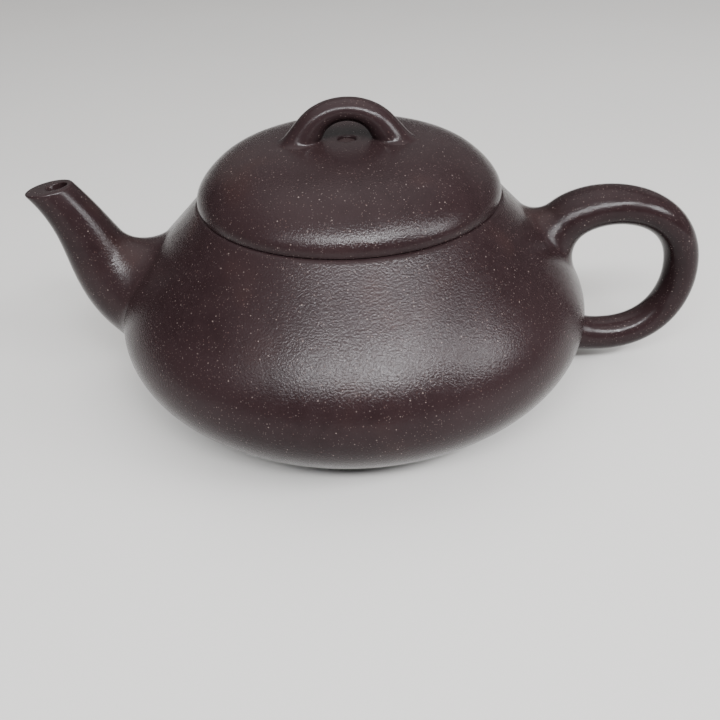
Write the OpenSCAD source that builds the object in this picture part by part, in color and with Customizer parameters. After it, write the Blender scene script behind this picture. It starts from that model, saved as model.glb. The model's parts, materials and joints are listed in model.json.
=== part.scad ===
// Squat clay teapot: a turned body with a domed inset lid, a bridge knob,
// a short curved spout and a ring handle. All sizes are in millimetres.
// The pot's axis is Z, the table is z = 0, the spout points to -X and the
// handle to +X.

/* [Body] */
// Widest diameter of the body
belly_diameter = 100; // [90:1:120]
// Height of the widest point above the table
belly_height = 20; // [16:0.5:24]
// Height of the rim the lid sits on
mouth_height = 45; // [40:0.5:54]
// Diameter of the flat the pot stands on
foot_diameter = 48; // [42:1:56]
// Thickness of the clay sheet the body and base are cut from
sheet_thickness = 3; // [2.4:0.1:3.4]
// Width of the ring left standing around the hollow under the base
foot_land = 5; // [3:0.5:8]
// Depth of the hollow under the base
foot_hollow = 0.9; // [0.4:0.1:1.4]

/* [Mouth and lid] */
// Diameter of the hole in the rim
mouth_diameter = 49; // [44:0.5:51]
// Width of the rim all round that hole
rim_width = 6.5; // [5:0.1:8]
// Height of the rim ring
rim_thickness = 2.8; // [2:0.1:3.6]
// Gap all round between the lid's neck and the mouth
lid_clearance = 0.35; // [0.2:0.05:0.8]
// Rise of the lid's top above the rim
lid_rise = 11; // [9:0.5:14]
// Thickness of the lid's dome
lid_thickness = 2.8; // [2.2:0.1:3.2]
// Thickness of the flat ring under the dome
seat_thickness = 1.8; // [1.4:0.1:2.4]
// Depth of the neck below the rim
neck_depth = 7; // [5:0.5:9]
// Thickness of the neck
neck_thickness = 2.2; // [1.6:0.1:2.8]
// Diameter of the steam hole in the lid's top
steam_hole = 3.6; // [2.4:0.1:4.4]
// Small bevel that eases the clay's edges
edge = 0.3; // [0.1:0.05:0.5]

/* [Knob] */
// Height of the knob over the lid's top
knob_height = 8; // [7:0.1:10]
// Distance from the pot's axis to the middle of each foot of the knob
knob_reach = 8.4; // [7:0.1:10]
// Thickness of the strap at the top of the knob
knob_strap = 4.4; // [3.6:0.1:5]
// Width of the strap at the top of the knob
knob_width = 5.6; // [4.8:0.1:8]

/* [Spout] */
// Distance from the belly to the middle of the spout's tip
spout_reach = 11; // [9:0.2:14]
// Height of the tip over the rim
tip_rise = 3.4; // [2:0.2:6]
// Outer width of the tip
tip_diameter = 8.6; // [8:0.1:9.6]
// Width of the pouring hole
pour_hole = 3.8; // [3:0.1:4.2]
// Slope of the cut tip, in degrees
tip_slope = 8.5; // [0:0.5:20]
// Diameter of each hole pierced through the wall behind the spout
strain_hole = 2.2; // [1.6:0.1:2.4]

/* [Handle] */
// Distance from the belly to the middle of the handle's far side
handle_reach = 22.4; // [20:0.2:27]
// Thickness of the handle at its far side
handle_thickness = 7; // [6:0.1:8]
// Width of the handle at its far side
handle_width = 8.8; // [7.4:0.1:10]

/* [Hidden] */
$fn = 96;
clay = [0.24, 0.185, 0.19];
belly_r = belly_diameter / 2;
foot_r = foot_diameter / 2;
mouth_r = mouth_diameter / 2;
rim_r = mouth_r + rim_width;
neck_r = mouth_r - lid_clearance;
split_height = mouth_height - rim_thickness;
shoulder = mouth_height - belly_height;
lid_top = mouth_height + lid_rise;
seat_r = rim_r - lid_thickness;
// How far the end of a luted piece is pressed into the wall
lute = 1;
// Number of points round a handle or spout, and along its parts
around = 32;
along = 14;
fillet = 6;

// ---- Curves ----

// Point at t on the cubic curve with control points p, of any dimension
function bez(p, t) = pow(1 - t, 3) * p[0] + 3 * t * pow(1 - t, 2) * p[1]
    + 3 * t * t * (1 - t) * p[2] + pow(t, 3) * p[3];

// Direction of travel at t on the same curve
function heading(p, t) = let (d = pow(1 - t, 2) * (p[1] - p[0])
    + 2 * t * (1 - t) * (p[2] - p[1]) + t * t * (p[3] - p[2])) d / norm(d);

// Point at t, moved in from the curve's outer side by a distance
function inset(p, t, by) = let (d = heading(p, t)) bez(p, t) - by * [d[1], -d[0]];

// The body's outer profile, from the foot to the belly and on to the rim
foot_curve = [[foot_r, 0], [foot_r + 0.4 * (belly_r - foot_r), 0.03 * belly_height],
    [belly_r, 0.47 * belly_height], [belly_r, belly_height]];
shoulder_curve = [[belly_r, belly_height], [belly_r, belly_height + 0.32 * shoulder],
    [rim_r + 0.53 * (belly_r - rim_r), belly_height + 0.56 * shoulder], [rim_r, mouth_height]];
outer = concat([for (i = [0:15]) bez(foot_curve, i / 16)],
    [for (i = [0:16]) bez(shoulder_curve, i / 16)]);
inner = concat([for (i = [2:15]) inset(foot_curve, i / 16, sheet_thickness)],
    [for (i = [0:16]) inset(shoulder_curve, i / 16, sheet_thickness)]);
outer_table = [for (p = outer) [p[1], p[0]]];
inner_table = [for (p = inner) [p[1], p[0]]];

// The lid's outer profile, from its rounded edge to the top
edge_curve = [[rim_r - 0.4, mouth_height], [rim_r + 0.4, mouth_height + 0.13 * lid_rise],
    [rim_r - 1, mouth_height + 0.34 * lid_rise], [rim_r - 4, mouth_height + 0.57 * lid_rise]];
dome_curve = [edge_curve[3], edge_curve[3] + 1.65 * (edge_curve[3] - edge_curve[2]),
    [0.48 * rim_r, lid_top], [0, lid_top]];
lid_outer = concat([for (i = [0:7]) bez(edge_curve, i / 8)],
    [for (i = [0:16]) bez(dome_curve, i / 16)]);
lid_inner = concat([for (i = [0:7]) inset(edge_curve, i / 8, lid_thickness)],
    [for (i = [0:16]) inset(dome_curve, i / 16, lid_thickness)]);
lid_table = [for (i = [len(lid_outer) - 1:-1:6]) lid_outer[i]];

// Point on the body's outside at a height and an offset across, pressed in by a depth;
// side is -1 on the spout's side and 1 on the handle's
function on_wall(side, z, y, depth) = let (r = lookup(z, outer_table) - depth)
    [side * sqrt(r * r - y * y), y, z];

// Point on the lid's top, pressed in by a depth
function on_lid(x, y, depth) = [x, y, lookup(norm([x, y]), lid_table) - depth];

// Point on a rounded bar: line is its middle, angle 0 is the outside of the bend,
// and thick and wide are its half sizes
function on_bar(line, t, angle, thick, wide, shift = 0) = let (
    c = bez(line, t),
    d = heading(line, t),
    out = thick * cos(angle) + shift)
    [c[0] - out * d[1], wide * sin(angle), c[1] + out * d[0]];

// Points from a footprint on the wall to a bar, leaving both of them smoothly: foot and
// toe are on the wall at the footprint's edge and inside it, way is the bar's direction
function flare(foot, toe, start, way, k) = let (
    pull = 0.4 * norm(start - foot))
    [for (i = [0:k - 1]) bez([foot, toe, start - pull * way, start], i / k)];

// Rings of points, each ring made from lists that run the other way
function rings(lines) = [for (i = [0:len(lines[0]) - 1]) [for (line = lines) line[i]]];

// Solid through rings of equal length; its ends are closed by a point each, or joined
module skin(rows, caps = []) {
    n = len(rows[0]);
    m = len(rows);
    last = len(caps) == 0 ? m - 1 : m - 2;
    points = concat([for (row = rows) each row], caps);
    sides = [for (i = [0:last]) for (j = [0:n - 1]) let (
        a = i * n + j,
        b = i * n + (j + 1) % n,
        c = ((i + 1) % m) * n + (j + 1) % n,
        d = ((i + 1) % m) * n + j)
        each [[a, b, c], [a, c, d]]];
    ends = len(caps) == 0 ? [] : [for (j = [0:n - 1]) each [
        [m * n, (j + 1) % n, j],
        [m * n + 1, (m - 1) * n + j, (m - 1) * n + (j + 1) % n]]];
    polyhedron(points, concat(sides, ends), convexity = 6);
}

// ---- Body ----

// Wall of the pot, pierced behind the spout
module body_wall() {
    top_outer = lookup(split_height, outer_table);
    top_inner = lookup(split_height, inner_table);
    color(clay) difference() {
        rotate_extrude() polygon(concat(
            [for (p = outer) if (p[1] < split_height - 0.2) p],
            [[top_outer, split_height], [top_inner, split_height]],
            [for (i = [len(inner) - 1:-1:0]) if (inner[i][1] < split_height - 0.2) inner[i]],
            [[foot_r, sheet_thickness]]));
        strainer_holes();
    }
}

// Drills for the strainer: one in the middle and two rings around it
module strainer_holes() {
    pitch = strain_hole + 1.1;
    translate([-belly_r, 0, spout_root]) rotate([0, 90, 0]) {
        cylinder(d = strain_hole, h = 12, center = true);
        for (ring = [1:2], i = [0:6 * ring - 1])
            rotate(i * 60 / ring) translate([ring * pitch, 0, 0])
                cylinder(d = strain_hole, h = 24, center = true);
    }
}

// Floor of the pot, hollowed a little underneath so that it stands on a ring
module base_disc() {
    hollow_r = foot_r - foot_land;
    color(clay) rotate_extrude() polygon([[0, foot_hollow], [hollow_r - foot_hollow, foot_hollow],
        [hollow_r, 0], [foot_r, 0], [foot_r, sheet_thickness], [0, sheet_thickness]]);
}

// Ring that closes the shoulder down to the mouth and carries the lid
module mouth_ring() {
    color(clay) rotate_extrude() polygon(concat(
        [[mouth_r, split_height], [lookup(split_height, outer_table), split_height]],
        [for (p = outer) if (p[1] > split_height + 0.2 && p[1] < mouth_height - edge) p],
        [[lookup(mouth_height - edge, outer_table), mouth_height - edge],
            [rim_r - 2 * edge, mouth_height], [mouth_r + edge, mouth_height],
            [mouth_r, mouth_height - edge]]));
}

// ---- Spout ----

spout_root = belly_height + 2.5;
spout_tip = mouth_height + tip_rise;
spout_line = [[-belly_r + 7.5, spout_root - 1], [-belly_r - 5.5, spout_root + 4.5],
    [-belly_r - 2.8, 0.4 * spout_root + 0.6 * spout_tip], [-belly_r - spout_reach, spout_tip]];
// Half sizes along the spout, and of its way through
spout_size = [11.3, 7.8, 5.3, tip_diameter / 2];
way_size = [8.2, 4.8, 2.8, pour_hole / 2];
// The flare's lowest and highest points on the wall, and its half width
root_low = 9.9;
root_top = split_height - 4.7;
root_wide = 12;
// Where the flare ends, on the underside and on top
flare_low = 0.18;
flare_high = 0.6;

// Slides a point of the end along the spout's direction into the sloping cut
function cut_slide(t, out) = let (d = heading(spout_line, 1), m = [-sin(tip_slope), cos(tip_slope)],
    share = pow(max(0, (t - 0.7) / 0.3), 2))
    -share * out * (-d[1] * m[0] + d[0] * m[1]) / (d * m);

function spout_skin(t, angle) = let (size = bez(spout_size, t),
    p = on_bar(spout_line, t, angle, size, size),
    d = heading(spout_line, t))
    p + cut_slide(t, size * cos(angle)) * [d[0], 0, d[1]];

// The way through runs nearer the pot's side at the tip
function way_skin(t, angle) = let (size = bez(way_size, t), shift = -1.5 * t * t,
    p = on_bar(spout_line, t, angle, size, size, shift),
    d = heading(spout_line, t))
    p + cut_slide(t, size * cos(angle) + shift) * [d[0], 0, d[1]];

function spout_foot(angle, scale, depth) = on_wall(-1,
    (root_top + root_low) / 2 - scale * (root_top - root_low) / 2 * cos(angle),
    scale * root_wide * sin(angle), depth);

function spout_outside(angle) = let (
    t0 = flare_low + (flare_high - flare_low) * (1 - cos(angle)) / 2,
    d = heading(spout_line, t0))
    concat([spout_foot(angle, 1, lute)],
        flare(spout_foot(angle, 1, 0), spout_foot(angle, 0.78, 0), spout_skin(t0, angle),
            [d[0], 0, d[1]], fillet + 2),
        [for (i = [0:along]) spout_skin(t0 + (1 - t0) * i / along, angle)]);

function spout_inside(angle) = let (
    t0 = 0.42,
    d = heading(spout_line, t0),
    foot = on_wall(-1, spout_root - 8.2 * cos(angle), 8.2 * sin(angle), lute))
    concat([for (i = [along:-1:0]) way_skin(t0 + (1 - t0) * i / along, angle)],
        [for (i = [fillet - 1:-1:0]) bez([foot, foot - [2.5, 0, 0],
            way_skin(t0, angle) - 4 * [d[0], 0, d[1]], way_skin(t0, angle)], i / fillet)]);

// Short tapered spout, open from the strainer to the pouring hole
module spout() {
    color(clay) skin(rings([for (j = [0:around - 1]) let (angle = 360 * j / around)
        concat(spout_outside(angle), spout_inside(angle))]));
}

// ---- Handle ----

handle_far = belly_r + handle_reach;
handle_mid = 0.51 * mouth_height;
// Middle of the upper root, on the shoulder, and of the lower one, under the belly
upper_root = split_height - 9.2;
lower_root = 10;
upper_start = lookup(upper_root, outer_table) + 0.6;
// Half height and half width of each root's footprint on the wall
upper_print = [7.6, 9];
lower_print = [6.6, 7.4];
handle_top = [[upper_start, upper_root - 1], [upper_start, mouth_height - 2],
    [handle_far, mouth_height - 1], [handle_far, handle_mid]];
handle_base = [[handle_far, handle_mid], [handle_far, 14], [belly_r + 16, 3],
    [belly_r - 5, lower_root - 0.2]];
top_thick = [5.3, 4.1, handle_thickness / 2, handle_thickness / 2];
top_wide = [6, 5.5, 4.9, handle_width / 2];
base_thick = [handle_thickness / 2, handle_thickness / 2, 3.6, 3.9];
base_wide = [handle_width / 2, 4.1, 4, 4.3];

function upper_foot(angle, scale, depth) = on_wall(1,
    upper_root + scale * upper_print[0] * cos(angle), scale * upper_print[1] * sin(angle), depth);

function lower_foot(angle, scale, depth) = on_wall(1,
    lower_root - scale * lower_print[0] * cos(angle), scale * lower_print[1] * sin(angle), depth);

function handle_line(angle) = let (
    // upper root, on the shoulder
    t0 = 0.16,
    d0 = heading(handle_top, t0),
    start0 = on_bar(handle_top, t0, angle, bez(top_thick, t0), bez(top_wide, t0)),
    // lower root, under the belly
    t1 = 0.82,
    d1 = heading(handle_base, t1),
    start1 = on_bar(handle_base, t1, angle, bez(base_thick, t1), bez(base_wide, t1)),
    back = flare(lower_foot(angle, 1, 0), lower_foot(angle, 0.77, 0), start1,
        -[d1[0], 0, d1[1]], fillet))
    concat([upper_foot(angle, 1, lute)],
        flare(upper_foot(angle, 1, 0), upper_foot(angle, 0.74, 0), start0,
            [d0[0], 0, d0[1]], fillet),
        [for (i = [0:along]) let (t = t0 + (1 - t0) * i / along)
            on_bar(handle_top, t, angle, bez(top_thick, t), bez(top_wide, t))],
        [for (i = [1:along]) let (t = t1 * i / along)
            on_bar(handle_base, t, angle, bez(base_thick, t), bez(base_wide, t))],
        [for (i = [fillet - 1:-1:0]) back[i]],
        [lower_foot(angle, 1, lute)]);

// Ring handle for one finger
module handle() {
    color(clay) skin(rings([for (j = [0:around - 1]) handle_line(360 * j / around)]),
        [on_wall(1, upper_root, 0, lute), on_wall(1, lower_root, 0, lute)]);
}

// ---- Lid ----

// Dome with its rounded edge and the steam hole
module lid_dome() {
    steam_r = steam_hole / 2;
    color(clay) rotate_extrude() polygon(concat(
        [[seat_r, mouth_height], [rim_r - 0.4 - edge, mouth_height]],
        [for (p = lid_outer) if (p[1] > mouth_height + edge && p[0] > steam_r + edge) p],
        [[steam_r + edge, lid_top], [steam_r, lid_top - edge], [steam_r, lid_top - lid_thickness]],
        [for (i = [len(lid_inner) - 1:-1:0]) if (lid_inner[i][0] > steam_r + edge
            && lid_inner[i][1] > mouth_height + seat_thickness + 0.2
            && lid_inner[i][0] < seat_r) lid_inner[i]],
        [[seat_r, mouth_height + seat_thickness]]));
}

// Flat ring luted inside the dome's edge; it rests on the mouth ring
module lid_seat_ring() {
    color(clay) translate([0, 0, mouth_height]) rotate_extrude()
        polygon([[neck_r - neck_thickness, 0], [seat_r, 0], [seat_r, seat_thickness],
            [neck_r - neck_thickness, seat_thickness]]);
}

// Neck that drops into the mouth and keeps the lid in place
module lid_flange() {
    color(clay) translate([0, 0, mouth_height]) rotate_extrude()
        polygon([[neck_r, 0], [neck_r - neck_thickness, 0],
            [neck_r - neck_thickness, edge - neck_depth], [neck_r - neck_thickness + edge, -neck_depth],
            [neck_r - 2 * edge, -neck_depth], [neck_r, 2 * edge - neck_depth]]);
}

// ---- Knob ----

// Footprint of each foot on the lid: the place of its middle, and its half sizes
print_reach = knob_reach + 0.8;
print_long = 5;
print_wide = 5;
knob_apex = lid_top + knob_height - knob_strap / 2;
knob_foot = lid_top - 1.5;
knob_line = [[-knob_reach, knob_foot], [-knob_reach + 1, (4 * knob_apex - knob_foot) / 3],
    [knob_reach - 1, (4 * knob_apex - knob_foot) / 3], [knob_reach, knob_foot]];

function knob_bar(t, angle) = let (low = pow(2 * t - 1, 2))
    on_bar(knob_line, t, angle, knob_strap / 2 + 1.5 * low, knob_width / 2 + 1.3 * low);

// Edge of one foot on the lid; side is -1 on the spout's side and 1 on the handle's
function knob_print(side, angle, scale, depth) = on_lid(
    side * (print_reach + scale * print_long * cos(angle)), scale * print_wide * sin(angle), depth);

function knob_flare(side, angle, t) = let (d = heading(knob_line, t))
    flare(knob_print(side, angle, 1, 0), knob_print(side, angle, 0.76, 0), knob_bar(t, angle),
        -side * [d[0], 0, d[1]], fillet);

function knob_side(angle) = let (
    far = knob_flare(1, angle, 0.84))
    concat([knob_print(-1, angle, 1, lute)], knob_flare(-1, angle, 0.16),
        [for (i = [0:along]) knob_bar(0.16 + 0.68 * i / along, angle)],
        [for (i = [fillet - 1:-1:0]) far[i]], [knob_print(1, angle, 1, lute)]);

// Bridge-shaped knob over the steam hole
module knob() {
    color(clay) skin(rings([for (j = [0:around - 1]) knob_side(360 * j / around)]),
        [on_lid(-print_reach, 0, lute), on_lid(print_reach, 0, lute)]);
}

body_wall();
base_disc();
mouth_ring();
spout();
handle();
lid_dome();
lid_seat_ring();
lid_flange();
knob();
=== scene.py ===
"""Small unglazed clay teapot: a turned body and lid, a curved spout, a ring handle and a bridge knob.

Shapes are worked out in millimetres, with the pot's axis on Z, the table at z = 0, the
spout towards -X and the handle towards +X. They become metres when a piece is made."""

import json
import math

import bpy
import numpy as np
from mathutils import Matrix, Vector

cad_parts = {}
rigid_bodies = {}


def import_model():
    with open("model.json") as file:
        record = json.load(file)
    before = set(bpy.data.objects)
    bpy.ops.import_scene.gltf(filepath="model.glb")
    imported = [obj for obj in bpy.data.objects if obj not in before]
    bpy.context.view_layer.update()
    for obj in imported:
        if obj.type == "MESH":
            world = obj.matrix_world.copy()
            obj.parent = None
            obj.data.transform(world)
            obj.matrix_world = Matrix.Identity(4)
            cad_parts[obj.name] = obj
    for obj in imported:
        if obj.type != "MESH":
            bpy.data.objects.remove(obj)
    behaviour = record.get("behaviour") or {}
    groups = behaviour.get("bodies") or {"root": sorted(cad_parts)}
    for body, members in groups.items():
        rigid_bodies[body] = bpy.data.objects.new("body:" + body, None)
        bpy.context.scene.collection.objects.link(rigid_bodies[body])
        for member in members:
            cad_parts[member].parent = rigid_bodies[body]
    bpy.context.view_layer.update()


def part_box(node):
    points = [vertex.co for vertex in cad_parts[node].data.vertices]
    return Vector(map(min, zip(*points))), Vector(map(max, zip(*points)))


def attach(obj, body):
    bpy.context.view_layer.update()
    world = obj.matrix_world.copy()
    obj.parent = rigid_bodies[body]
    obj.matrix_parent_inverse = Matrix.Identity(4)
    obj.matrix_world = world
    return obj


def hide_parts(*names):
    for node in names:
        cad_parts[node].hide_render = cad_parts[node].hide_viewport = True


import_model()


# ---- Sizes, in millimetres ----

def corner(node, which, axis):
    """One coordinate of a CAD node's box: which is 0 for the lowest corner and 1 for the highest."""
    return round(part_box(node)[which][axis] * 1000, 3)


BELLY_R = corner("body_wall", 1, 0)
BELLY_HEIGHT = 20.0
FOOT_R = corner("base_disc", 1, 0)
SHEET = corner("base_disc", 1, 2)
FOOT_LAND = 5.0
FOOT_HOLLOW = 0.9
SPLIT_HEIGHT = corner("mouth_ring", 0, 2)
MOUTH_HEIGHT = corner("mouth_ring", 1, 2)
NECK_R = corner("lid_flange", 1, 0)
NECK_LOW = corner("lid_flange", 0, 2)
NECK_THICKNESS = 2.2
MOUTH_R = NECK_R + 0.35
REST_R = corner("lid_seat_ring", 1, 0)
REST_TOP = corner("lid_seat_ring", 1, 2)
LID_THICKNESS = 2.8
LID_TOP = corner("lid_dome", 1, 2)
RIM_R = REST_R + LID_THICKNESS
STEAM_R = 1.8
KNOB_TOP = corner("knob", 1, 2)
KNOB_REACH = 8.4
KNOB_STRAP = 4.4
KNOB_WIDTH = 5.6
PRINT_REACH = KNOB_REACH + 0.8
SPOUT_ROOT = (BELLY_HEIGHT + SPLIT_HEIGHT) / 2 - 8.6
SPOUT_REACH = 11.0
SPOUT_TIP = MOUTH_HEIGHT + 3.4
TIP_SLOPE = math.radians(8.5)
STRAIN_HOLE = 2.2
STRAIN_WEB = 1.1
HANDLE_THICKNESS = 7.0
HANDLE_WIDTH = 8.8
HANDLE_FAR = corner("handle", 1, 0) - HANDLE_THICKNESS / 2
# How far the end of a luted piece is pressed into the wall, and how far its smooth edge
# lies under the wall's surface, so that no seam is left around it
LUTE = 1.0
SUNK = 0.012
# A footprint this much smaller lies just inside another one
NEAR = 0.96
# Points of a curve that are nearer than this to a corner are left out
CLEAR = 0.05
# Faces that meet at more than this keep a crease between them
CREASE = math.radians(35)


# ---- Curves ----

def cubic(points, t):
    """Cubic curve (1-t)^3 P0 + 3t(1-t)^2 P1 + 3t^2(1-t) P2 + t^3 P3, for a whole array of t."""
    t = np.asarray(t, float)
    shares = np.stack([(1 - t) ** 3, 3 * t * (1 - t) ** 2, 3 * t * t * (1 - t), t ** 3], -1)
    return np.tensordot(shares, np.asarray(points, float), 1)


def heading(points, t):
    """Unit direction of travel at t: (1-t)^2 (P1-P0) + 2t(1-t) (P2-P1) + t^2 (P3-P2), divided
    by its length."""
    t = np.asarray(t, float)
    shares = np.stack([(1 - t) ** 2, 2 * t * (1 - t), t * t], -1)
    way = np.tensordot(shares, np.diff(np.asarray(points, float), axis=0), 1)
    return way / np.linalg.norm(way, axis=-1, keepdims=True)


def inset(points, t, by):
    """The cubic curve moved in by a distance along its normal (dz, -dr)."""
    way = heading(points, t)
    return cubic(points, t) - by * np.stack([way[..., 1], -way[..., 0]], -1)


def eased(before, tip, after, count=7):
    """Rounded corner: the parabola (1-s)^2 A + 2s(1-s) C + s^2 B from A to B, with its corner at C."""
    s = np.linspace(0, 1, count)[:, None]
    return ((1 - s) ** 2 * np.asarray(before) + 2 * s * (1 - s) * np.asarray(tip)
            + s * s * np.asarray(after))


def between(curve, low, high):
    """The points of a profile whose height is strictly between two heights."""
    return curve[(curve[:, 1] > low) & (curve[:, 1] < high)]


def from_axis(points):
    """Distance of each point from the pot's axis: sqrt(x^2 + y^2)."""
    return np.hypot(points[:, 0], points[:, 1])


# ---- Profiles, as radius and height ----

SHOULDER = MOUTH_HEIGHT - BELLY_HEIGHT
FOOT_CURVE = [
    [FOOT_R, 0], [FOOT_R + 0.4 * (BELLY_R - FOOT_R), 0.03 * BELLY_HEIGHT],
    [BELLY_R, 0.47 * BELLY_HEIGHT], [BELLY_R, BELLY_HEIGHT]]
SHOULDER_CURVE = [
    [BELLY_R, BELLY_HEIGHT], [BELLY_R, BELLY_HEIGHT + 0.32 * SHOULDER],
    [RIM_R + 0.53 * (BELLY_R - RIM_R), BELLY_HEIGHT + 0.56 * SHOULDER],
    [RIM_R, MOUTH_HEIGHT]]
CURVE_POINTS = 49
# The inside of the wall starts this many points up the curve, clear of the base
BASE_POINTS = 6
steps = np.linspace(0, 1, CURVE_POINTS)
body_outer = np.vstack([cubic(FOOT_CURVE, steps[:-1]), cubic(SHOULDER_CURVE, steps)])
body_inner = np.vstack([
    inset(FOOT_CURVE, steps[BASE_POINTS:-1], SHEET), inset(SHOULDER_CURVE, steps, SHEET)])

RISE = LID_TOP - MOUTH_HEIGHT
EDGE_CURVE = np.array([
    [RIM_R - 0.4, MOUTH_HEIGHT], [RIM_R + 0.4, MOUTH_HEIGHT + 0.13 * RISE],
    [RIM_R - 1, MOUTH_HEIGHT + 0.34 * RISE], [RIM_R - 4, MOUTH_HEIGHT + 0.57 * RISE]])
DOME_CURVE = np.array([
    EDGE_CURVE[3], EDGE_CURVE[3] + 1.65 * (EDGE_CURVE[3] - EDGE_CURVE[2]),
    [0.48 * RIM_R, LID_TOP], [0, LID_TOP]])
lid_outer = np.vstack([cubic(EDGE_CURVE, steps[:-1]), cubic(DOME_CURVE, steps)])
lid_inner = np.vstack([
    inset(EDGE_CURVE, steps[:-1], LID_THICKNESS), inset(DOME_CURVE, steps, LID_THICKNESS)])


def wall_r(height):
    """Radius of the body's outside at a height, read off the profile."""
    return np.interp(height, body_outer[:, 1], body_outer[:, 0])


def on_wall(side, height, across, depth=0.0):
    """Point on the wall: x = side * sqrt(r(z)^2 - y^2), with r taken in by the depth."""
    r = wall_r(height) - depth
    return np.stack([side * np.sqrt(r * r - across * across), across + 0 * r, height + 0 * r], -1)


def on_lid(x, across, depth=0.0):
    """Point on the lid's top: z is the dome's height at radius sqrt(x^2 + y^2), less the depth."""
    dome = lid_outer[::-1][:CURVE_POINTS]
    height = np.interp(np.hypot(x, across), dome[:, 0], dome[:, 1])
    return np.stack([x, across, height - depth], -1)


# ---- Surfaces ----

def turned(profile, count=256):
    """Surface of revolution: the profile's point (r, z) at angle a lies at (r cos a, r sin a, z)."""
    angle = np.linspace(0, 2 * np.pi, count, endpoint=False)
    r, z = profile[:, :1], profile[:, 1:]
    return np.stack([r * np.cos(angle), r * np.sin(angle), z + 0 * angle], -1)


def bar(line, t, angle, thick, wide, shift=0.0):
    """Rounded bar round a line in the XZ plane: the line's point at t, plus
    thick cos(angle) + shift along the line's normal (-dz, dx) and wide sin(angle) along Y."""
    middle, way = cubic(line, t), heading(line, t)
    out = thick * np.cos(angle) + shift
    return np.stack([
        middle[..., 0] - out * way[..., 1], wide * np.sin(angle) + 0 * out,
        middle[..., 1] + out * way[..., 0]], -1)


def sideways(way):
    """A direction (dx, dz) in the XZ plane as (dx, 0, dz)."""
    return np.stack([way[..., 0], 0 * way[..., 0], way[..., 1]], -1)


def unit(way):
    """Direction of length one."""
    return way / np.linalg.norm(way, axis=-1, keepdims=True)


def flare(foot, near, start, after, reach, count=22):
    """Soft root: at each angle a cubic curve that leaves the foot along the wall, towards a point
    near it, for about the given reach, and meets the start of the bar in line with its next
    point, after."""
    toe = foot + reach * unit(near - foot)
    pull = 0.4 * np.linalg.norm(start - foot, axis=-1, keepdims=True)
    t = np.linspace(0, 1, count, endpoint=False)
    return cubic(np.stack([foot, toe, start - pull * unit(after - start), start]), t)


# Angles round a bar; they run backwards so that the faces look outwards
ROUND = np.linspace(0, -2 * np.pi, 96, endpoint=False)


# ---- Meshes ----

def grid_faces(rows, columns, caps):
    """Corners of the faces over rings of points: quads between neighbouring rings, and either
    quads back to the first ring or a fan of triangles round a point at each end."""
    last = rows - 1 if caps else rows
    i, j = np.meshgrid(np.arange(last), np.arange(columns), indexing="ij")
    right, up = (j + 1) % columns, (i + 1) % rows
    quads = np.stack([
        i * columns + j, i * columns + right, up * columns + right, up * columns + j], -1)
    if not caps:
        return quads.reshape(-1, 4), np.zeros((0, 3), int)
    j = np.arange(columns)
    right = (j + 1) % columns
    top = (rows - 1) * columns
    start = np.stack([0 * j + rows * columns, right, j], -1)
    end = np.stack([0 * j + rows * columns + 1, top + j, top + right], -1)
    return quads.reshape(-1, 4), np.vstack([start, end])


def make_mesh(name, rings, caps=()):
    """Mesh over a grid of rings of points in millimetres, with a point closing each end if given."""
    rows, columns = rings.shape[:2]
    points = rings.reshape(-1, 3)
    if len(caps):
        points = np.vstack([points, caps])
    quads, fans = grid_faces(rows, columns, len(caps) > 0)
    loops = np.concatenate([quads.ravel(), fans.ravel()])
    sizes = np.concatenate([np.full(len(quads), 4), np.full(len(fans), 3)])
    mesh = bpy.data.meshes.new(name)
    mesh.vertices.add(len(points))
    mesh.vertices.foreach_set("co", (points * 0.001).astype(np.float32).ravel())
    mesh.loops.add(len(loops))
    mesh.loops.foreach_set("vertex_index", loops.astype(np.int32))
    mesh.polygons.add(len(sizes))
    mesh.polygons.foreach_set("loop_start", (np.cumsum(sizes) - sizes).astype(np.int32))
    mesh.update(calc_edges=True)
    mesh.validate()
    return mesh


def smooth(mesh):
    """Smooth shading, apart from the creases."""
    mesh.polygons.foreach_set("use_smooth", np.ones(len(mesh.polygons), bool))
    mesh.set_sharp_from_angle(angle=CREASE)


def piece(name, mesh, node, body, materials):
    """Object for a mesh that stands for a CAD node, rides on a body and takes a finish."""
    shown = bpy.data.objects.new(name, mesh)
    bpy.context.scene.collection.objects.link(shown)
    smooth(mesh)
    for material in materials:
        mesh.materials.append(material)
    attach(shown, body)
    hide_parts(node)
    return shown


def set_inside(mesh, test):
    """Gives the second material to the faces whose centre, in millimetres, passes a test."""
    centres = np.zeros(len(mesh.polygons) * 3)
    mesh.polygons.foreach_get("center", centres)
    inside = test(centres.reshape(-1, 3) * 1000)
    mesh.polygons.foreach_set("material_index", inside.astype(np.int32))
    mesh.update()


# ---- Shader helpers ----

def add(tree, kind, inputs=None, **settings):
    """Adds a shader node, sets its options, and sets or links its inputs by name or number."""
    node = tree.nodes.new("ShaderNode" + kind)
    for name, value in settings.items():
        setattr(node, name, value)
    for name, value in (inputs or {}).items():
        if isinstance(value, bpy.types.NodeSocket):
            tree.links.new(value, node.inputs[name])
        else:
            node.inputs[name].default_value = value
    return node


def maths(tree, operation, first, second=0.5, clamp=False):
    """Output of a Math node on two values or sockets."""
    return add(tree, "Math", {0: first, 1: second}, operation=operation, use_clamp=clamp).outputs[0]


def remap(tree, value, low, high, to_low=0.0, to_high=1.0, kind="SMOOTHSTEP"):
    """Output of a Map Range node: value from low..high to to_low..to_high."""
    return add(tree, "MapRange", {0: value, 1: low, 2: high, 3: to_low, 4: to_high},
               interpolation_type=kind).outputs[0]


def blend(tree, factor, first, second, mode="MIX"):
    """Colour output of a Mix node between two colours or colour sockets."""
    return add(tree, "Mix", {0: factor, 6: first, 7: second},
               data_type="RGBA", blend_type=mode).outputs[2]


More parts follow.
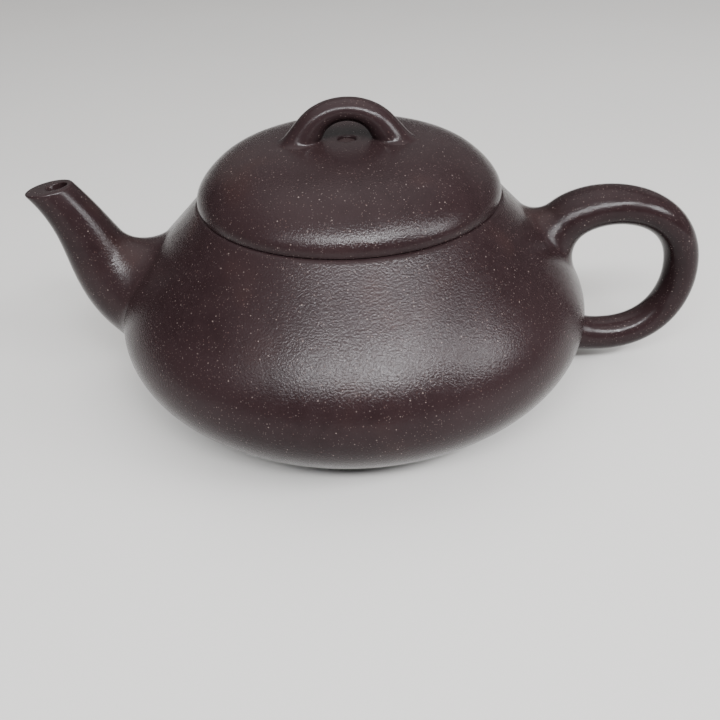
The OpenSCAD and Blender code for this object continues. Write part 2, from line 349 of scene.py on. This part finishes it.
def noise(tree, place, scale, detail=2.0, rough=0.5):
    """Value output of a Noise Texture; scale is in waves per metre."""
    return add(tree, "TexNoise", {
        "Vector": place, "Scale": scale, "Detail": detail, "Roughness": rough}).outputs[0]


def new_group(name, inputs, outputs):
    """Empty shader node group with named inputs and outputs; gives the tree and both end nodes."""
    tree = bpy.data.node_groups.new(name, "ShaderNodeTree")
    for title, kind, value in inputs:
        socket = tree.interface.new_socket(title, in_out="INPUT", socket_type="NodeSocket" + kind)
        if value is not None:
            socket.default_value = value
    for title, kind in outputs:
        tree.interface.new_socket(title, in_out="OUTPUT", socket_type="NodeSocket" + kind)
    return tree, tree.nodes.new("NodeGroupInput"), tree.nodes.new("NodeGroupOutput")


def use_group(tree, group, inputs):
    """Places a node group in a material with its own input values."""
    return add(tree, "Group", inputs, node_tree=group)


def axis_distance(tree, parts):
    """Distance of the shaded point from the pot's axis, from a node that gives its X and Y."""
    flat = add(tree, "CombineXYZ", {0: parts.outputs[0], 1: parts.outputs[1], 2: 0.0})
    return add(tree, "VectorMath", {0: flat.outputs[0]}, operation="LENGTH").outputs["Value"]


# ---- Clay effects ----

def grains_group():
    """Pale grains of sand in the clay: balls of random size about the points of a Voronoi
    pattern, kept where a random number passes a limit that drifts over the surface."""
    tree, given, made = new_group(
        "clay_grains",
        [("Vector", "Vector", None), ("Scale", "Float", 1000.0), ("Smallest", "Float", 0.1),
         ("Largest", "Float", 0.25), ("Amount", "Float", 0.5), ("Drift", "Float", 0.3)],
        [("Mask", "Float"), ("Hue", "Float")])
    place = given.outputs["Vector"]
    cells = add(tree, "TexVoronoi", {"Vector": place, "Scale": given.outputs["Scale"]})
    random = add(tree, "SeparateColor", {0: cells.outputs["Color"]})
    size = remap(tree, random.outputs[0], 0.0, 1.0,
                 given.outputs["Smallest"], given.outputs["Largest"], "LINEAR")
    inner = maths(tree, "MULTIPLY", size, 0.55)
    ball = remap(tree, cells.outputs["Distance"], inner, size, 1.0, 0.0)
    patches = maths(tree, "SUBTRACT", noise(tree, place, 55.0, 2.0), 0.5)
    drift = maths(tree, "MULTIPLY", patches, given.outputs["Drift"])
    limit = maths(tree, "ADD", given.outputs["Amount"], drift)
    kept = maths(tree, "LESS_THAN", random.outputs[1], limit)
    tree.links.new(maths(tree, "MULTIPLY", ball, kept), made.inputs["Mask"])
    tree.links.new(random.outputs[2], made.inputs["Hue"])
    return tree


def skin_group():
    """Height of a burnished clay surface, in millimetres: rounded bumps about 0.4 apart, finer
    grit about 0.15 apart, and shallow unevenness left by the shaping tool."""
    tree, given, made = new_group(
        "clay_skin",
        [("Vector", "Vector", None), ("Peel", "Float", 0.02), ("Grit", "Float", 0.01),
         ("Waves", "Float", 0.04)],
        [("Height", "Float"), ("Shine", "Float")])
    place = given.outputs["Vector"]
    peel = noise(tree, place, 2700.0, 1.0)
    grit = noise(tree, place, 6500.0, 1.0)
    waves = noise(tree, place, 90.0, 1.0)
    height = maths(tree, "MULTIPLY", peel, given.outputs["Peel"])
    height = maths(tree, "ADD", height, maths(tree, "MULTIPLY", grit, given.outputs["Grit"]))
    height = maths(tree, "ADD", height, maths(tree, "MULTIPLY", waves, given.outputs["Waves"]))
    tree.links.new(height, made.inputs["Height"])
    tree.links.new(noise(tree, place, 260.0, 3.0, 0.6), made.inputs["Shine"])
    return tree


def tone_group():
    """Uneven colour of fired clay: wide cloudy patches and a fine mottle between three tones."""
    tree, given, made = new_group(
        "clay_tone",
        [("Vector", "Vector", None), ("Dark", "Color", (0.03, 0.02, 0.02, 1)),
         ("Middle", "Color", (0.05, 0.04, 0.04, 1)), ("Warm", "Color", (0.08, 0.05, 0.04, 1))],
        [("Color", "Color")])
    place = given.outputs["Vector"]
    cloud = remap(tree, noise(tree, place, 38.0, 3.0, 0.55), 0.36, 0.64)
    mottle = remap(tree, noise(tree, place, 420.0, 3.0, 0.6), 0.3, 0.7)
    warm = remap(tree, noise(tree, place, 70.0, 2.0), 0.52, 0.72)
    base = blend(tree, cloud, given.outputs["Dark"], given.outputs["Middle"])
    base = blend(tree, maths(tree, "MULTIPLY", mottle, 0.5), base, given.outputs["Middle"])
    base = blend(tree, maths(tree, "MULTIPLY", warm, 0.35), base, given.outputs["Warm"])
    tree.links.new(base, made.inputs["Color"])
    return tree


def scrape_group():
    """Fine rings left by a scraper on the wheel: waves along the radius and the height, wobbling
    a little, as a height in millimetres."""
    tree, given, made = new_group(
        "scrape_rings",
        [("Vector", "Vector", None), ("Depth", "Float", 0.03)], [("Height", "Float")])
    place = given.outputs["Vector"]
    parts = add(tree, "SeparateXYZ", {0: place})
    rise = maths(tree, "MULTIPLY", parts.outputs[2], 1.3)
    travel = maths(tree, "ADD", axis_distance(tree, parts), rise)
    wobble = maths(tree, "MULTIPLY", noise(tree, place, 60.0, 1.0), 0.0009)
    ring = add(tree, "CombineXYZ", {0: maths(tree, "ADD", travel, wobble), 1: 0.0, 2: 0.0})
    lines = noise(tree, ring.outputs[0], 900.0, 2.0, 0.6)
    tree.links.new(maths(tree, "MULTIPLY", lines, given.outputs["Depth"]), made.inputs["Height"])
    return tree


GRAINS = grains_group()
SKIN = skin_group()
TONE = tone_group()
SCRAPE = scrape_group()
# Two sizes of grain: cells per metre, smallest and largest ball in a cell, and drift
COARSE = {"Scale": 1350.0, "Smallest": 0.1, "Largest": 0.25, "Drift": 1.2}
FINE = {"Scale": 2300.0, "Smallest": 0.12, "Largest": 0.3, "Drift": 0.8}
# Metres from the axis where the pot's own bumps end and those of spout and handle begin
POT_ENDS = 0.050
ROOTS_END = 0.058
# Depth in millimetres of the unevenness left by shaping
WAVES = 0.03
CLAY_SHEEN = 0.13


def clay(name, tones, peel, handled, roughness, speck, scraped=0.0):
    """Fired clay: three tones under two sizes of pale grains, with a burnished or a raw skin.
    Its bumps are peel mm high on the pot and handled mm out on the spout and handle."""
    material = bpy.data.materials.new(name)
    material.use_nodes = True
    tree = material.node_tree
    shader = tree.nodes["Principled BSDF"]
    place = add(tree, "TexCoord").outputs["Object"]
    tone = use_group(tree, TONE, {
        "Vector": place, "Dark": tones[0], "Middle": tones[1], "Warm": tones[2]})
    coarse = use_group(tree, GRAINS, {"Vector": place, "Amount": speck, **COARSE})
    fine = use_group(tree, GRAINS, {"Vector": place, "Amount": speck, **FINE})
    radius = axis_distance(tree, add(tree, "SeparateXYZ", {0: place}))
    bumps = remap(tree, radius, POT_ENDS, ROOTS_END, peel, handled)
    skin = use_group(tree, SKIN, {
        "Vector": place, "Peel": bumps, "Grit": maths(tree, "MULTIPLY", bumps, 0.5),
        "Waves": WAVES})
    reddish = remap(tree, coarse.outputs["Hue"], 0.3, 0.6)
    pale = remap(tree, coarse.outputs["Hue"], 0.5, 1.0, 0.16, 0.52, "LINEAR")
    grain_colour = blend(tree, reddish, (0.15, 0.085, 0.070, 1), (0.21, 0.165, 0.15, 1))
    fine_colour = blend(tree, fine.outputs["Hue"], (0.085, 0.057, 0.051, 1), (0.095, 0.077, 0.072, 1))
    colour = blend(tree, maths(tree, "MULTIPLY", fine.outputs["Mask"], 0.5),
                   tone.outputs["Color"], fine_colour)
    colour = blend(tree, maths(tree, "MULTIPLY", coarse.outputs["Mask"], pale), colour, grain_colour)
    tree.links.new(colour, shader.inputs["Base Color"])
    rough = remap(tree, skin.outputs["Shine"], 0.3, 0.7, roughness - 0.04, roughness + 0.05, "LINEAR")
    rough = maths(tree, "ADD", rough, maths(tree, "MULTIPLY", coarse.outputs["Mask"], 0.12))
    tree.links.new(rough, shader.inputs["Roughness"])
    height = skin.outputs["Height"]
    if scraped:
        rings = use_group(tree, SCRAPE, {"Vector": place, "Depth": scraped})
        height = maths(tree, "ADD", height, rings.outputs["Height"])
    bump = add(tree, "Bump", {"Strength": 1.0, "Distance": 0.001, "Height": height})
    tree.links.new(bump.outputs[0], shader.inputs["Normal"])
    shader.inputs["Specular IOR Level"].default_value = CLAY_SHEEN
    return material


# Dark, middle and warm tone of the burnished and of the raw clay
PURPLE = [(0.0108, 0.0059, 0.0064, 1), (0.0158, 0.0093, 0.0099, 1), (0.0230, 0.0118, 0.0106, 1)]
RAW = [(0.028, 0.018, 0.018, 1), (0.039, 0.026, 0.026, 1), (0.050, 0.030, 0.026, 1)]
burnished = clay("burnished_clay", PURPLE, 0.050, 0.018, 0.165, 0.62)
polished = clay("polished_clay", PURPLE, 0.020, 0.018, 0.20, 0.45)
raw = clay("raw_clay", RAW, 0.060, 0.060, 0.60, 0.60, 0.03)


# ---- Body ----

def body_profile():
    """Closed outline of the wall: up the outside from the foot, over the seam under the mouth
    ring, and down the inside to the base."""
    inner_r = np.interp(SPLIT_HEIGHT, body_inner[:, 1], body_inner[:, 0])
    return np.vstack([
        [[FOOT_R, 0]], between(body_outer, 0, SPLIT_HEIGHT - CLEAR),
        [[wall_r(SPLIT_HEIGHT), SPLIT_HEIGHT], [inner_r, SPLIT_HEIGHT]],
        between(body_inner, 0, SPLIT_HEIGHT - CLEAR)[::-1], [[FOOT_R, SHEET]]])


def strainer_drills():
    """Mesh of round drills along X for the strainer: one in the middle and rings of six and
    twelve around it, each ring one pitch further out."""
    pitch = STRAIN_HOLE + STRAIN_WEB
    ring = np.concatenate([[0], np.full(6, 1), np.full(12, 2)])
    turn = np.concatenate([[0], np.arange(6) / 6, np.arange(12) / 12]) * 2 * np.pi
    middles = np.stack([ring * pitch * np.sin(turn), SPOUT_ROOT - ring * pitch * np.cos(turn)], -1)
    angle = np.linspace(0, 2 * np.pi, 32, endpoint=False)
    across, up = STRAIN_HOLE / 2 * np.cos(angle), STRAIN_HOLE / 2 * np.sin(angle)
    outside, inside = -BELLY_R - 6, -BELLY_R + 12
    drills = []
    for y, z in middles:
        rings = np.stack([
            np.stack([x + 0 * angle, y + across, z + up], -1) for x in (outside, inside)])
        drills.append(make_mesh("drill", rings, np.array([[outside, y, z], [inside, y, z]])))
    return drills


def pierced(mesh, drills):
    """The mesh with each drill's shape taken away from it."""
    wall = bpy.data.objects.new("wall_blank", mesh)
    bpy.context.scene.collection.objects.link(wall)
    tools = bpy.data.collections.new("drills")
    bpy.context.scene.collection.children.link(tools)
    for drill in drills:
        tools.objects.link(bpy.data.objects.new("drill", drill))
    cut = wall.modifiers.new("strainer", "BOOLEAN")
    cut.operand_type = "COLLECTION"
    cut.collection = tools
    cut.operation = "DIFFERENCE"
    cut.solver = "EXACT"
    graph = bpy.context.evaluated_depsgraph_get()
    result = bpy.data.meshes.new_from_object(wall.evaluated_get(graph))
    for tool in list(tools.objects) + [wall]:
        bpy.data.objects.remove(tool)
    bpy.data.collections.remove(tools)
    return result


def inside_pot(centres):
    """True where a face lies well under the outside of the wall and is not its foot."""
    depth, foot = 0.4, 0.2
    return (from_axis(centres) < wall_r(centres[:, 2]) - depth) & (centres[:, 2] > foot)


wall_mesh = pierced(make_mesh("body_wall", turned(body_profile())), strainer_drills())
set_inside(wall_mesh, inside_pot)
piece("pot_wall", wall_mesh, "body_wall", "pot", [burnished, raw])


# Radii of the rings across the floor of the pot, above and below
FLOOR_RINGS = [0.5, 6, 12, 18]


def base_profile():
    """Outline of the base from near its middle underneath, down to the foot's ring and up and
    over the floor of the pot."""
    hollow_r = FOOT_R - FOOT_LAND
    slope = hollow_r - FOOT_HOLLOW
    return np.vstack([
        [[r, FOOT_HOLLOW] for r in FLOOR_RINGS[:-1]],
        eased([slope - 0.8, FOOT_HOLLOW], [slope, FOOT_HOLLOW], [slope + 0.35, FOOT_HOLLOW - 0.35]),
        eased([hollow_r - 0.25, 0.25], [hollow_r, 0], [hollow_r + 0.35, 0]),
        [[21.5, 0], [FOOT_R - 0.2, 0], [FOOT_R, 0], [FOOT_R, SHEET], [FOOT_R - 0.2, SHEET]],
        [[r, SHEET] for r in FLOOR_RINGS[::-1]]])


base_mesh = make_mesh(
    "base_disc", turned(base_profile()), np.array([[0, 0, FOOT_HOLLOW], [0, 0, SHEET]]))
piece("pot_base", base_mesh, "base_disc", "pot", [raw])


def mouth_profile():
    """Outline of the mouth ring: out along the seam, up the shoulder, over the seat for the lid
    and down the mouth, with both upper corners rounded."""
    ease, inner_ease, seat_middle = 0.45, 0.6, 28
    outer = eased(
        [wall_r(MOUTH_HEIGHT - ease), MOUTH_HEIGHT - ease], [RIM_R, MOUTH_HEIGHT],
        [RIM_R - 1.4 * ease, MOUTH_HEIGHT])
    inner = eased(
        [MOUTH_R + inner_ease, MOUTH_HEIGHT], [MOUTH_R, MOUTH_HEIGHT],
        [MOUTH_R, MOUTH_HEIGHT - inner_ease])
    return np.vstack([
        [[MOUTH_R, SPLIT_HEIGHT], [wall_r(SPLIT_HEIGHT), SPLIT_HEIGHT]],
        between(body_outer, SPLIT_HEIGHT + CLEAR, MOUTH_HEIGHT - ease - CLEAR),
        outer, [[seat_middle, MOUTH_HEIGHT]], inner])


def inside_mouth(centres):
    """True on the ring's seat, mouth and underside, which are left raw."""
    depth = 1.2
    return from_axis(centres) < wall_r(centres[:, 2]) - depth


mouth_mesh = make_mesh("mouth_ring", turned(mouth_profile()))
set_inside(mouth_mesh, inside_mouth)
piece("pot_mouth_ring", mouth_mesh, "mouth_ring", "pot", [burnished, raw])


# ---- Spout ----

SPOUT_LINE = [
    [-BELLY_R + 7.5, SPOUT_ROOT - 1], [-BELLY_R - 5.5, SPOUT_ROOT + 4.5],
    [-BELLY_R - 2.8, 0.4 * SPOUT_ROOT + 0.6 * SPOUT_TIP], [-BELLY_R - SPOUT_REACH, SPOUT_TIP]]
SPOUT_SIZE = [11.3, 7.8, 5.3, 4.3]
WAY_SIZE = [8.2, 4.8, 2.8, 1.9]
ROOT_LOW = 9.9
ROOT_TOP = SPLIT_HEIGHT - 4.7
ROOT_WIDE = 12.0
# Where the round bar of the spout starts along its line, underneath and on top
FLARE_LOW = 0.18
FLARE_HIGH = 0.6
SPOUT_SPREAD = 2.6
# Shares of the line where the outside ends, and where the hole through it ends and starts
OUTER_END, INNER_END, INNER_START = 0.985, 0.988, 0.42
# Widths of the eased edges on the flat cut, outside and around the hole
BRIM_EASE = 0.55
BRINK_EASE = 0.3
# Radius of the hole through the spout where it meets the wall, round the strainer
FUNNEL_R = 8.2


def cut_slide(t, out):
    """Shift along the spout that brings its last part onto the sloping cut: none up to t = 0.7,
    growing as the square to the whole shift at the tip."""
    way = heading(SPOUT_LINE, 1.0)
    normal = np.array([-math.sin(TIP_SLOPE), math.cos(TIP_SLOPE)])
    share = np.maximum(0, (t - 0.7) / 0.3) ** 2
    return -share * out * (-way[1] * normal[0] + way[0] * normal[1]) / (way @ normal)


def spout_skin(t, angle, sizes=SPOUT_SIZE, shift=0.0):
    """Round bar of falling size along the spout's line, ending on the sloping cut."""
    size = cubic(sizes, t)
    slide = cut_slide(t, size * np.cos(angle) + shift)[..., None]
    return bar(SPOUT_LINE, t, angle, size, size, shift) + slide * sideways(heading(SPOUT_LINE, t))


def way_skin(t, angle):
    """The hole through the spout, which runs 1.5 t^2 nearer the pot's side."""
    return spout_skin(t, angle, WAY_SIZE, -1.5 * t * t)


def spout_foot(scale, depth):
    """Edge of the spout's footprint on the wall, an egg shape scaled about its middle."""
    height = (ROOT_TOP + ROOT_LOW) / 2 - scale * (ROOT_TOP - ROOT_LOW) / 2 * np.cos(ROUND)
    return on_wall(-1, height, scale * ROOT_WIDE * np.sin(ROUND), depth)


def rounded(before, corner, after, count=7):
    """Cubic curve that rounds off a corner between a point before it and a point after it."""
    pulls = [before, (before + 3 * corner) / 4, (after + 3 * corner) / 4, after]
    return cubic(np.stack(pulls), np.linspace(0, 1, count))


def spout_rings():
    """Rings over the whole spout: up the outside, over the flat cut with its eased edges, and
    back down the inside to the strainer."""
    start = FLARE_LOW + (FLARE_HIGH - FLARE_LOW) * (1 - np.cos(ROUND)) / 2
    root = flare(
        spout_foot(1, SUNK), spout_foot(NEAR, SUNK), spout_skin(start, ROUND),
        spout_skin(start + 0.01, ROUND), SPOUT_SPREAD)
    along = np.linspace(0, 1, 72)[:, None]
    outside = spout_skin(start + (OUTER_END - start) * along, ROUND + 0 * along)
    inside = way_skin(INNER_END + (INNER_START - INNER_END) * along, ROUND + 0 * along)
    rim, hole = spout_skin(1.0, ROUND), way_skin(1.0, ROUND)
    across = unit(hole - rim)
    brim = rounded(outside[-1], rim, rim + BRIM_EASE * across)
    brink = rounded(hole - BRINK_EASE * across, hole, inside[0])
    mouth = on_wall(-1, SPOUT_ROOT - FUNNEL_R * np.cos(ROUND), FUNNEL_R * np.sin(ROUND), LUTE)
    funnel = cubic(np.stack([
        inside[-1], inside[-1] + 4 * unit(inside[-1] - inside[-2]), mouth - [2.5, 0, 0], mouth]),
        np.linspace(0, 1, 13)[1:])
    return np.concatenate([
        spout_foot(1, LUTE)[None], root, outside, brim[1:], brink[:-1], inside, funnel])


spout_mesh = make_mesh("spout", spout_rings())
piece("pot_spout", spout_mesh, "spout", "pot", [burnished])


# ---- Handle ----

HANDLE_MID = 0.51 * MOUTH_HEIGHT
UPPER_ROOT = SPLIT_HEIGHT - 9.2
LOWER_ROOT = 10.0
# Half height and half width of the footprints; the lower one is met from the other end
UPPER_PRINT = (7.6, 9.0)
LOWER_PRINT = (-6.6, 7.4)
# How far each root spreads along the wall before it turns up into the bar
UPPER_SPREAD = 2.4
LOWER_SPREAD = 2.0
UPPER_START = wall_r(UPPER_ROOT) + 0.6
HANDLE_TOP = [
    [UPPER_START, UPPER_ROOT - 1], [UPPER_START, MOUTH_HEIGHT - 2],
    [HANDLE_FAR, MOUTH_HEIGHT - 1], [HANDLE_FAR, HANDLE_MID]]
HANDLE_BASE = [
    [HANDLE_FAR, HANDLE_MID], [HANDLE_FAR, 14], [BELLY_R + 16, 3],
    [BELLY_R - 5, LOWER_ROOT - 0.2]]
TOP_THICK = [5.3, 4.1, HANDLE_THICKNESS / 2, HANDLE_THICKNESS / 2]
TOP_WIDE = [6, 5.5, 4.9, HANDLE_WIDTH / 2]
BASE_THICK = [HANDLE_THICKNESS / 2, HANDLE_THICKNESS / 2, 3.6, 3.9]
BASE_WIDE = [HANDLE_WIDTH / 2, 4.1, 4, 4.3]


def handle_bar(line, thick, wide, t):
    """Rings of the handle's bar along one of its two curves."""
    t = np.asarray(t, float)[:, None]
    return bar(line, t, ROUND + 0 * t, cubic(thick, t), cubic(wide, t))


def handle_foot(height, half, scale, depth=SUNK):
    """Oval footprint of a root of the handle: half[0] cos(a) up and half[1] sin(a) across."""
    return on_wall(
        1, height + scale * half[0] * np.cos(ROUND), scale * half[1] * np.sin(ROUND), depth)


def handle_rings():
    """Rings from the upper root along both curves to the lower root."""
    first, last = 0.16, 0.82
    upper_bar = handle_bar(HANDLE_TOP, TOP_THICK, TOP_WIDE, np.linspace(first, 1, 72))
    lower_bar = handle_bar(HANDLE_BASE, BASE_THICK, BASE_WIDE, np.linspace(0, last, 60))
    upper = flare(
        handle_foot(UPPER_ROOT, UPPER_PRINT, 1), handle_foot(UPPER_ROOT, UPPER_PRINT, NEAR),
        upper_bar[0], upper_bar[1], UPPER_SPREAD)
    lower = flare(
        handle_foot(LOWER_ROOT, LOWER_PRINT, 1), handle_foot(LOWER_ROOT, LOWER_PRINT, NEAR),
        lower_bar[-1], lower_bar[-2], LOWER_SPREAD)
    return np.concatenate([
        handle_foot(UPPER_ROOT, UPPER_PRINT, 1, LUTE)[None], upper, upper_bar, lower_bar[1:],
        lower[::-1], handle_foot(LOWER_ROOT, LOWER_PRINT, 1, LUTE)[None]])


handle_ends = on_wall(1, np.array([UPPER_ROOT, LOWER_ROOT]), np.zeros(2), LUTE)
handle_mesh = make_mesh("handle", handle_rings(), handle_ends)
piece("pot_handle", handle_mesh, "handle", "pot", [burnished])


# ---- Lid ----

def dome_profile():
    """Closed outline of the dome: out along its seat, round the edge, over the top to the steam
    hole, and back along the underside."""
    ease = 0.35
    edge_r = np.interp(MOUTH_HEIGHT + ease, EDGE_CURVE[:2, 1], EDGE_CURVE[:2, 0])
    top = lid_outer[(lid_outer[:, 1] > MOUTH_HEIGHT + ease) & (lid_outer[:, 0] > STEAM_R + 0.6)]
    under = lid_inner[::-1]
    under = under[(under[:, 0] > STEAM_R + 0.3) & (under[:, 0] < REST_R)]
    under = under[under[:, 1] > REST_TOP + 0.1]
    return np.vstack([
        [[REST_R, MOUTH_HEIGHT], [REST_R + 1, MOUTH_HEIGHT]],
        eased([RIM_R - 0.4 - ease, MOUTH_HEIGHT], [RIM_R - 0.4, MOUTH_HEIGHT],
              [edge_r, MOUTH_HEIGHT + ease]),
        top,
        eased([STEAM_R + 0.5, LID_TOP], [STEAM_R, LID_TOP], [STEAM_R, LID_TOP - 0.6]),
        [[STEAM_R, LID_TOP - LID_THICKNESS]], under, [[REST_R, REST_TOP]]])


def under_lid(centres):
    """True on the underside of the dome and in the steam hole, which are left raw."""
    depth, edge = 1.0, 1.5
    r = from_axis(centres)
    top = np.interp(r, lid_outer[::-1, 0], lid_outer[::-1, 1])
    return (centres[:, 2] < top - depth) & (r < REST_R + edge)


dome_mesh = make_mesh("lid_dome", turned(dome_profile()))
set_inside(dome_mesh, under_lid)
piece("lid_top", dome_mesh, "lid_dome", "lid", [burnished, raw])


def seat_profile():
    """Square outline of the flat ring under the dome, with its upper inner edge rounded."""
    inner = NECK_R - NECK_THICKNESS
    return np.vstack([
        [[inner + 0.6, MOUTH_HEIGHT], [NECK_R, MOUTH_HEIGHT], [REST_R, MOUTH_HEIGHT],
         [REST_R, REST_TOP], [NECK_R, REST_TOP]],
        eased([inner + 0.5, REST_TOP], [inner, REST_TOP], [inner, REST_TOP - 0.5]),
        [[inner, MOUTH_HEIGHT]]])


piece("lid_seat", make_mesh("lid_seat_ring", turned(seat_profile())),
      "lid_seat_ring", "lid", [raw])


def neck_profile():
    """Outline of the neck: a short tube whose lower edge is rounded where it enters the mouth.
    It stops a hair under the seat ring, which turns on it."""
    hair = 0.02
    inner = NECK_R - NECK_THICKNESS
    top = MOUTH_HEIGHT - hair
    return np.vstack([
        eased([inner, NECK_LOW + 0.5], [inner, NECK_LOW], [inner + 0.5, NECK_LOW]),
        eased([NECK_R - 0.8, NECK_LOW], [NECK_R, NECK_LOW], [NECK_R, NECK_LOW + 0.9]),
        [[NECK_R, MOUTH_HEIGHT - 2], [NECK_R, top], [inner, top], [inner, MOUTH_HEIGHT - 2]]])


piece("lid_neck", make_mesh("lid_flange", turned(neck_profile())),
      "lid_flange", "neck", [raw])


# ---- Knob ----

# Radius of each foot's print, and how far its root spreads on the lid
KNOB_PRINT = 5.0
KNOB_SPREAD = 1.3
KNOB_APEX = KNOB_TOP - KNOB_STRAP / 2
KNOB_FOOT = LID_TOP - 1.5
KNOB_PULL = (4 * KNOB_APEX - KNOB_FOOT) / 3
KNOB_LINE = [
    [-KNOB_REACH, KNOB_FOOT], [-KNOB_REACH + 1, KNOB_PULL], [KNOB_REACH - 1, KNOB_PULL],
    [KNOB_REACH, KNOB_FOOT]]


def knob_bar(t):
    """Rings of the strap, a little thicker and wider towards its feet as (2t-1)^2."""
    t = np.asarray(t, float)[:, None]
    low = (2 * t - 1) ** 2
    return bar(KNOB_LINE, t, ROUND + 0 * t, KNOB_STRAP / 2 + 1.5 * low, KNOB_WIDTH / 2 + 1.3 * low)


def knob_print(side, scale, depth=SUNK):
    """Round footprint of one foot of the knob on the lid."""
    x = side * (PRINT_REACH + scale * KNOB_PRINT * np.cos(ROUND))
    return on_lid(x, scale * KNOB_PRINT * np.sin(ROUND), depth)


def knob_rings():
    """Rings from the foot on the spout's side over the bridge to the foot on the handle's side."""
    first, last = 0.16, 0.84
    strap = knob_bar(np.linspace(first, last, 80))
    near = flare(knob_print(-1, 1), knob_print(-1, NEAR), strap[0], strap[1], KNOB_SPREAD)
    far = flare(knob_print(1, 1), knob_print(1, NEAR), strap[-1], strap[-2], KNOB_SPREAD)
    return np.concatenate([
        knob_print(-1, 1, LUTE)[None], near, strap, far[::-1], knob_print(1, 1, LUTE)[None]])


knob_ends = on_lid(np.array([-PRINT_REACH, PRINT_REACH]), np.zeros(2), LUTE)
piece("lid_knob", make_mesh("knob", knob_rings(), knob_ends), "knob", "lid", [polished])


# ---- Floor, light and camera ----

FLOOR_HALF = 3.0
AIM_HEIGHT = 0.03
DAYLIGHT = (0.97, 0.98, 1.0)
WARM_LIGHT = (1.0, 0.97, 0.94)
# The camera's place in metres, its turns in degrees, and its lens on a 36 mm wide frame
CAMERA_PLACE = (0.0003, -0.1495, 0.1062)
CAMERA_YAW = 0.2
CAMERA_PITCH = 34.69
CAMERA_ROLL = 2.34
CAMERA_LENS = 38.39
FRAME_WIDTH = 36.0


def floor_material():
    """Pale matt floor with a faint unevenness."""
    material = bpy.data.materials.new("pale_floor")
    material.use_nodes = True
    tree = material.node_tree
    shader = tree.nodes["Principled BSDF"]
    place = add(tree, "TexCoord").outputs["Object"]
    tint = blend(tree, noise(tree, place, 9.0, 3.0), (0.42, 0.41, 0.397, 1), (0.45, 0.44, 0.426, 1))
    tree.links.new(tint, shader.inputs["Base Color"])
    shader.inputs["Roughness"].default_value = 0.55
    return material


def make_floor():
    """Large flat floor under the pot."""
    mesh = bpy.data.meshes.new("floor")
    low, high = -FLOOR_HALF, FLOOR_HALF
    corners = [(low, low, 0), (high, low, 0), (high, high, 0), (low, high, 0)]
    mesh.from_pydata(corners, [], [(0, 1, 2, 3)])
    mesh.materials.append(floor_material())
    floor = bpy.data.objects.new("floor", mesh)
    bpy.context.scene.collection.objects.link(floor)


def soft_light(name, azimuth, elevation, distance, width, height, power, colour):
    """Rectangular light aimed at the pot, from an azimuth turned from -Y towards +X."""
    a, e = math.radians(azimuth), math.radians(elevation)
    aim = Vector((0, 0, AIM_HEIGHT))
    back = Vector((math.sin(a) * math.cos(e), -math.cos(a) * math.cos(e), math.sin(e)))
    lamp = bpy.data.lights.new(name, "AREA")
    lamp.shape = "RECTANGLE"
    lamp.size = width
    lamp.size_y = height
    lamp.energy = power
    lamp.color = colour
    shown = bpy.data.objects.new(name, lamp)
    bpy.context.scene.collection.objects.link(shown)
    shown.location = aim + back * distance
    shown.rotation_euler = (-back).to_track_quat("-Z", "Y").to_euler()


def make_world(low, high, strength):
    """Studio light that grows from a dim wall at eye level to a pale ceiling overhead."""
    world = bpy.data.worlds.new("studio")
    world.use_nodes = True
    tree = world.node_tree
    place = add(tree, "TexCoord").outputs["Generated"]
    up = add(tree, "SeparateXYZ", {0: place}).outputs[2]
    sky = tree.nodes["Background"]
    tree.links.new(blend(tree, remap(tree, up, 0.55, 1.0), low, high), sky.inputs["Color"])
    sky.inputs["Strength"].default_value = strength
    bpy.context.scene.world = world


def make_camera():
    """Camera held a little above the lid and looking down at the pot."""
    yaw, pitch, roll = (math.radians(turn) for turn in (CAMERA_YAW, CAMERA_PITCH, CAMERA_ROLL))
    data = bpy.data.cameras.new("camera")
    data.lens = CAMERA_LENS
    data.sensor_width = FRAME_WIDTH
    camera = bpy.data.objects.new("camera", data)
    bpy.context.scene.collection.objects.link(camera)
    camera.matrix_world = (
        Matrix.Translation(CAMERA_PLACE)
        @ Matrix.Rotation(-yaw, 4, "Z")
        @ Matrix.Rotation(math.pi / 2 - pitch, 4, "X")
        @ Matrix.Rotation(-roll, 4, "Z"))
    data.clip_start = 0.005
    bpy.context.scene.camera = camera


make_floor()
make_world((0.045, 0.045, 0.05, 1), (2.2, 2.18, 2.15, 1), 1.0)
soft_light("window", 4, 50, 0.8, 1.9, 0.22, 9.0, (0.96, 0.98, 1.0))
soft_light("near_pane", -2, 45, 0.8, 0.68, 0.075, 11.0, DAYLIGHT)
soft_light("middle_pane", 36, 45, 0.8, 0.45, 0.06, 5.2, DAYLIGHT)
soft_light("side_pane", 67, 29, 0.8, 0.28, 0.18, 4.0, DAYLIGHT)
soft_light("right_wall", 110, 22, 0.9, 1.0, 0.6, 0.3, WARM_LIGHT)
soft_light("back_wall", 175, 24, 0.9, 1.6, 0.5, 0.7, WARM_LIGHT)
make_camera()
